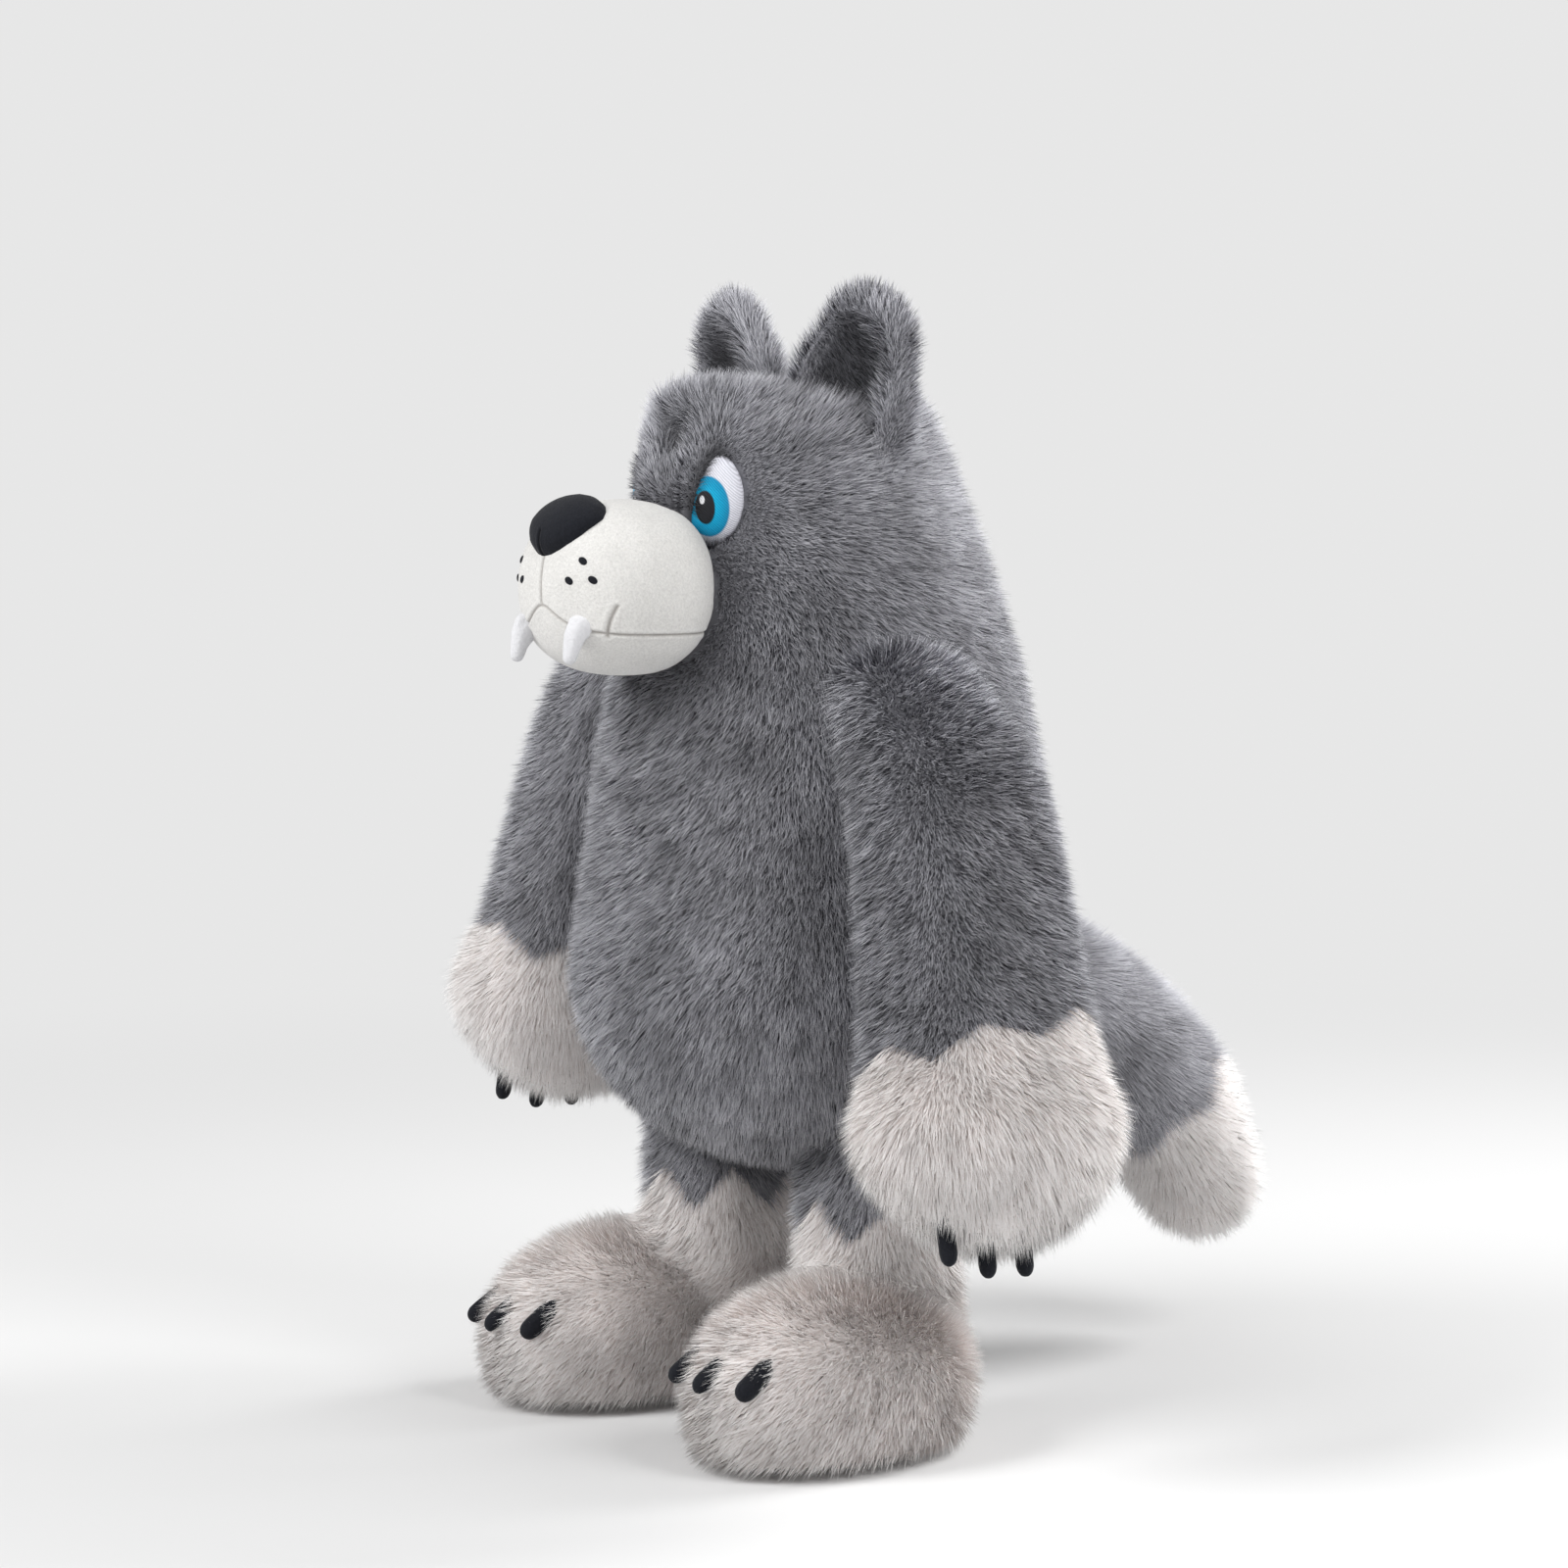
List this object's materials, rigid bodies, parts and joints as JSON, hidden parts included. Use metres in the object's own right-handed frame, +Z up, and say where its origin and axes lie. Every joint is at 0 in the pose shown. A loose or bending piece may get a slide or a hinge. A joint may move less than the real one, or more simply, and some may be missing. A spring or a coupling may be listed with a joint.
{
  "type": "plush wolf",
  "caption": "Standing plush wolf in grey long-pile fur with pale paws, feet and tail tip, a smooth muzzle with a black nose and soft fangs, embroidered eyes and black claws.",
  "frame": {"origin": "on the floor, under the middle of the whole wolf's box", "axes": "+Z up, the wolf faces -Y, its left is +X, its tail points to +Y"},
  "size_m": [0.4834, 0.4922, 0.5926],
  "materials": {
    "grey_fur": "grey long-pile faux fur, darker at the roots",
    "pale_fur": "warm white long-pile faux fur",
    "muzzle_velour": "off-white short-pile velour",
    "black_velour": "black short-pile velour",
    "fang_velour": "white velour",
    "eye_thread": "satin-stitched embroidery in white, blue and black"
  },
  "bodies": {
    "root": {"torso": "grey_fur", "left_ear": "grey_fur", "right_ear": "grey_fur", "left_sleeve": "grey_fur", "right_sleeve": "grey_fur", "left_thigh": "grey_fur", "right_thigh": "grey_fur", "tail_base": "grey_fur", "tail_tip": "pale_fur", "left_paw": "pale_fur", "right_paw": "pale_fur", "left_shin": "pale_fur", "right_shin": "pale_fur", "left_foot": "pale_fur", "right_foot": "pale_fur", "muzzle": "muzzle_velour", "chin": "muzzle_velour", "nose": "black_velour", "left_fang": "fang_velour", "right_fang": "fang_velour", "left_eye": "eye_thread", "right_eye": "eye_thread", "left_foot_claw_1": "black_velour", "left_foot_claw_2": "black_velour", "left_foot_claw_3": "black_velour", "right_foot_claw_1": "black_velour", "right_foot_claw_2": "black_velour", "right_foot_claw_3": "black_velour", "left_paw_claw_1": "black_velour", "left_paw_claw_2": "black_velour", "left_paw_claw_3": "black_velour", "right_paw_claw_1": "black_velour", "right_paw_claw_2": "black_velour", "right_paw_claw_3": "black_velour"}
  },
  "joints": []
}
